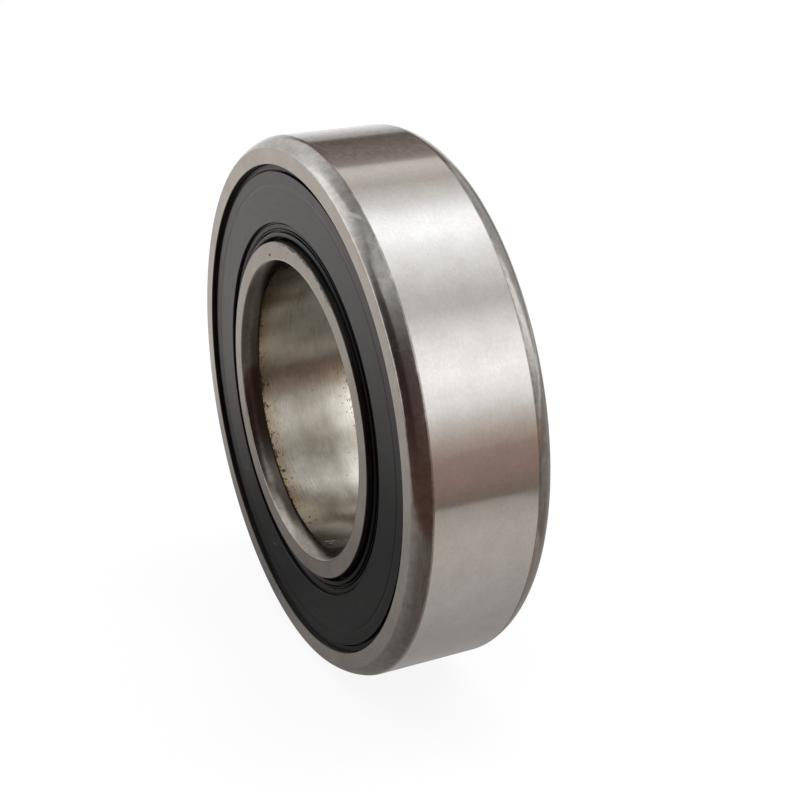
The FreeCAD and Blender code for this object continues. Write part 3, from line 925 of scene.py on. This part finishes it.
def softbox(name, place, width, height, strength):
    """An area lamp that looks at the bearing; metal reflects the cards instead."""
    data = bpy.data.lights.new(name, "AREA")
    data.shape = "RECTANGLE"
    data.size = width
    data.size_y = height
    data.energy = strength * width * height * math.pi
    lamp = bpy.data.objects.new(name, data)
    lamp.location = place
    lamp.visible_glossy = False
    look(lamp, Vector())


# ---------------------------------------------------------------- reflection cards

def card_finish():
    """Even glow in the colours that the card's points carry."""
    s = Shader("card_glow")
    colour = s.node("ShaderNodeAttribute", attribute_name="glow").outputs["Color"]
    return s.finished(s.node("ShaderNodeEmission", {"Color": colour, "Strength": 1.0}))


def card(name, line, y_low, y_high, finish):
    """A card whose edges run along the bearing's axis; line is [(x, z, colour at y_low, at y_high), ...].

    It shows only as a reflection in metal and rubber, as a photographer's cards do.
    """
    vertices = []
    shades = []
    for x, z, *colours in line:
        for y, colour in zip((y_low, y_high), colours):
            vertices.append((x, y, z))
            shades.extend((*colour, 1.0))
    faces = [(2 * i, 2 * i + 1, 2 * i + 3, 2 * i + 2) for i in range(len(line) - 1)]
    mesh = bpy.data.meshes.new(name)
    mesh.from_pydata(vertices, [], faces)
    glow = mesh.color_attributes.new("glow", "FLOAT_COLOR", "POINT")
    glow.data.foreach_set("color", shades)
    mesh.materials.append(finish)
    piece = bpy.data.objects.new(name, mesh)
    piece.visible_camera = False
    piece.visible_diffuse = False
    piece.visible_shadow = False
    bpy.context.scene.collection.objects.link(piece)


def part_way(share, first, second):
    """A colour between two others."""
    return tuple(a + share * (b - a) for a, b in zip(first, second))


def round_line(stops, radius):
    """Points every few degrees round the axis, from stops of (degrees, colour at low y, at high y)."""
    line = []
    for (a, low_a, high_a), (b, low_b, high_b) in zip(stops, stops[1:]):
        steps = max(1, round((b - a) / CARD_STEP))
        for i in range(steps + 1):
            share = i / steps
            angle = math.radians(a + share * (b - a))
            line.append((radius * math.cos(angle), radius * math.sin(angle),
                         part_way(share, low_a, low_b), part_way(share, high_a, high_b)))
    return line


def flat_line(stops):
    """Points across the floor, from stops of (x in millimetres, colour at low y, at high y)."""
    return [(x * MM, FLOOR_Z + CARD_LIFT, low, high) for x, low, high in stops]


def even(stops):
    """The same stops, with one colour at low and high y."""
    return [(place, colour, colour) for place, colour in stops]


def grey(level, warmth=0.0):
    return (level * (1 + warmth), level, level * (1 - warmth))


def greys(stops, warmth):
    """Stops with numbers for their greys, as colours."""
    return [(place, *(grey(level, warmth) for level in levels)) for place, *levels in stops]


def paper_cards(finish):
    """White paper round the bearing, with a painted shadow beside it."""
    # Darker close to the bearing: painted shadow.
    beside = [(-500, 0.62), (0, 0.34), (8, 0.31), (11, 0.36), (14, 0.35), (20, 0.38), (26, 0.455)]
    beyond = [(36, 0.51), (46, 0.535), (54, 0.49), (66, 0.44), (73, 0.38)]
    rear_stops = even(greys(beside, 0.03) + greys(beyond, 0.075))
    card("paper_rear", flat_line(rear_stops), CARD_SPLIT, PAPER_REAR, finish)
    back_stops = even(greys([
        (-500, 1.20), (-150, 0.45), (0, 0.36), (14, 0.33), (22, 0.27), (36, 0.29), (46, 0.28), (73, 0.25),
    ], 0.05))
    card("paper_back", flat_line(back_stops), PAPER_REAR, FLOOR_END, finish)
    # Darker close to the bearing at high y: painted shadow.
    front_stops = greys([
        (-500, 0.70, 0.70), (-80, 0.58, 0.70), (-60, 0.47, 0.60), (-45, 0.47, 0.33), (-28, 0.48, 0.14),
        (-12, 0.37, 0.12), (-2, 0.30, 0.22), (20, 0.31, 0.165), (48, 0.30, 0.15),
    ], 0.06) + [(56, (0.15, 0.105, 0.09), (0.10, 0.075, 0.065))]
    card("paper_front", flat_line(front_stops), PAPER_FRONT, CARD_SPLIT, finish)
    far_stops = even([(x, low) for x, low, high in front_stops])
    card("paper_far", flat_line(far_stops), -FLOOR_END, PAPER_FRONT, finish)


def table_cards(finish):
    """Brown table beyond the paper's edge, with a painted shadow along the paper's rear edge."""
    # The first stop is darker: a painted shadow of the paper's edge.
    rear = [(73, (0.19, 0.155, 0.13)), (77, (0.235, 0.19, 0.16)), (110, (0.32, 0.23, 0.195)),
            (165, (0.35, 0.255, 0.22)), (500, (0.42, 0.33, 0.28))]
    card("table_rear", flat_line(even(rear)), CARD_SPLIT, FLOOR_END, finish)
    front_stops = [(56, (0.11, 0.06, 0.05)), (500, (0.07, 0.04, 0.035))]
    card("table_front", flat_line(even(front_stops)), ROOM_END, CARD_SPLIT, finish)


def wall_cards(finish):
    """Wall with its window behind the bearing, from the right over the top to the left."""
    near = [(-3, (0.44, 0.35, 0.30)), (2, (0.54, 0.46, 0.40)), (9, grey(0.72, 0.05)), (17, grey(1.15)),
            (28, grey(1.35)), (42, grey(1.12)), (54, grey(0.69, 0.04)), (60, grey(0.70, 0.02)),
            (80, grey(1.26, -0.015)), (88, grey(1.56, -0.03)), (95, grey(1.52, -0.03)), (105, grey(0.93)),
            (117, grey(0.55, 0.07)), (126, grey(0.75, 0.05)), (131, grey(0.74, 0.05)),
            (131.5, (0.355, 0.303, 0.285)), (158, (0.148, 0.12, 0.112)), (160.5, (0.155, 0.13, 0.12)),
            (161, grey(0.45)), (166, grey(0.52)), (172, grey(0.76)), (178, grey(0.84)), (184, grey(1.0))]
    card("wall_rear", round_line(even(near), CARD_RADIUS), 0.0, WALL_SPLIT, finish)
    far = [(-3, grey(0.32, 0.03)), (8, grey(0.34, 0.03)), (25, grey(0.75, 0.03)), (45, grey(1.05)),
           (63, grey(1.45)), (80, grey(1.3)), (93, grey(0.66)), (107, grey(0.50, 0.02)),
           (130, grey(0.45, 0.02)), (150, grey(0.58, 0.03)), (158, grey(0.28, 0.06)), (183, grey(0.33, 0.04))]
    card("wall_back", round_line(even(far), CARD_RADIUS), WALL_SPLIT, WALL_END, finish)


def beam_cards(finish):
    """Beam over the bearing, dark on the right and bright on the left."""
    right = [(-3, (0.11, 0.07, 0.06)), (36, (0.12, 0.09, 0.08)), (47, grey(0.17, 0.08)), (58, grey(0.31)),
             (69, grey(0.70)), (76, grey(0.66)), (84, grey(0.60))]
    card("beam_right", round_line(even(right), BEAM_RADIUS), -0.40, 0.0, finish)
    left = greys([
        (84, 0.60, 0.60), (91, 0.52, 0.52), (102, 0.40, 0.40), (116, 0.46, 0.38), (123, 0.86, 0.57),
        (132, 1.13, 0.66), (144, 0.98, 0.84), (158, 0.76, 0.76), (175, 0.72, 0.72), (184, 1.0, 1.0),
    ], 0.01)
    card("beam_left", round_line(left, BEAM_RADIUS), -0.20, 0.08, finish)


def room_card(finish):
    """Dark room in front of the bearing, with its bright side on the left."""
    room = [(-3, (0.06, 0.033, 0.030)), (45, (0.04, 0.025, 0.023)), (60, (0.06, 0.045, 0.04)),
            (70, grey(0.08, 0.1)), (80, grey(0.11, 0.08)), (86, grey(0.22, 0.04)), (92, grey(0.42)),
            (113, grey(1.1)), (135, grey(1.6)), (150, grey(1.25)), (165, grey(0.86)), (183, grey(0.86))]
    card("room_front", round_line(even(room), CARD_RADIUS), ROOM_END, 0.0, finish)


def make_lights():
    """Two lamps for the matte surfaces, and cards that only the metal's and rubber's reflections see."""
    softbox("top_box", (0.05, 0.20, 0.60), width=0.34, height=0.60, strength=2.1)
    softbox("left_box", (-0.35, -0.35, 0.45), width=0.25, height=0.30, strength=1.6)
    finish = card_finish()
    for make in (paper_cards, table_cards, wall_cards, beam_cards, room_card):
        make(finish)


make_rings_and_seals()
dress_inner_pieces()
make_camera()
make_floor()
make_world()
make_lights()
bpy.context.scene.view_settings.view_transform = "Standard"
